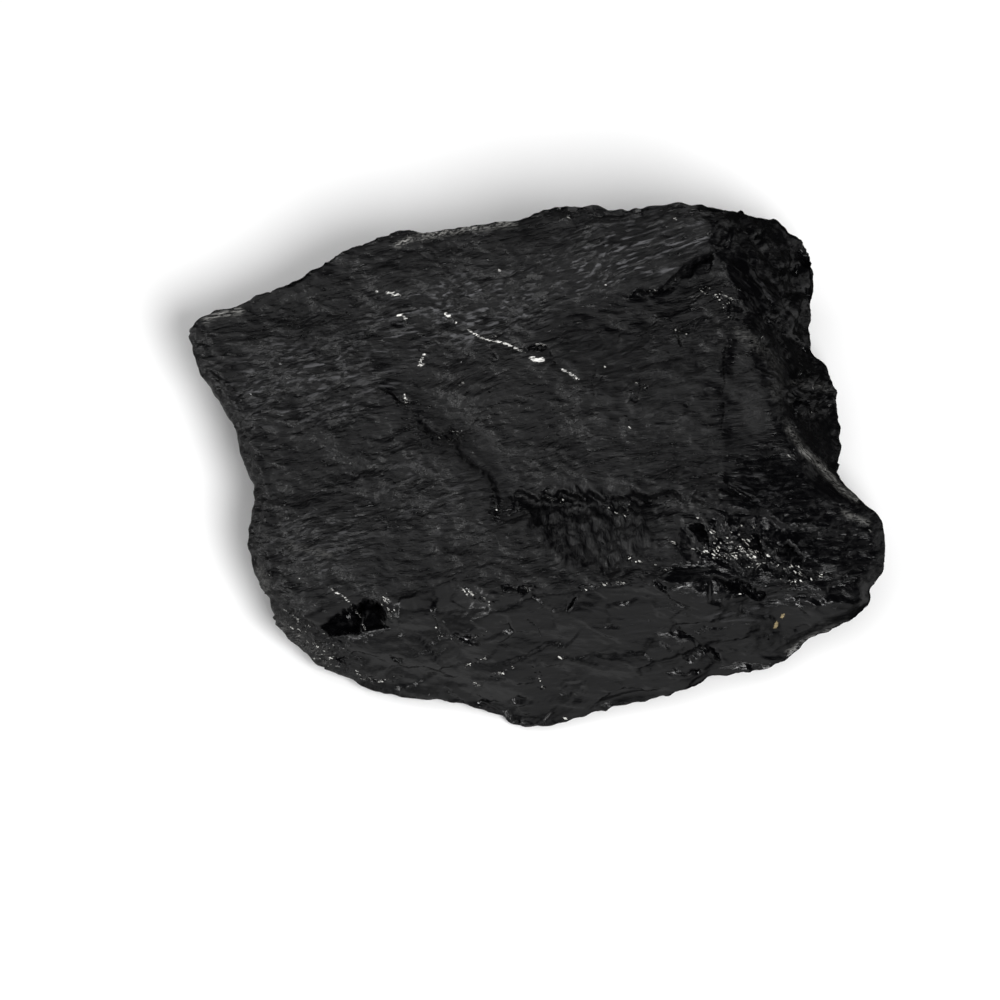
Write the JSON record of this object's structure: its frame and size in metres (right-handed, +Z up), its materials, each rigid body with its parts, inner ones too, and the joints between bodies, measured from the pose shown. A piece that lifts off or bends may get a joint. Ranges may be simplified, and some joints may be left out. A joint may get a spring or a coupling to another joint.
{
  "type": "raw black tourmaline chunk",
  "caption": "Raw black tourmaline chunk: one broken lump of glassy, fibrous black mineral with thin white quartz seams, resting on a flat underside.",
  "frame": {"origin": "on the table, under the middle of the stone's bounding box", "axes": "+Z up from the resting face, +X along the stone's length towards its right block, -Y towards its steep front face"},
  "size_m": [0.0906, 0.069, 0.0251],
  "materials": {
    "schorl": "broken, glassy to satin black with fine fibres"
  },
  "bodies": {
    "root": {"tourmaline_chunk": "schorl"}
  },
  "joints": []
}
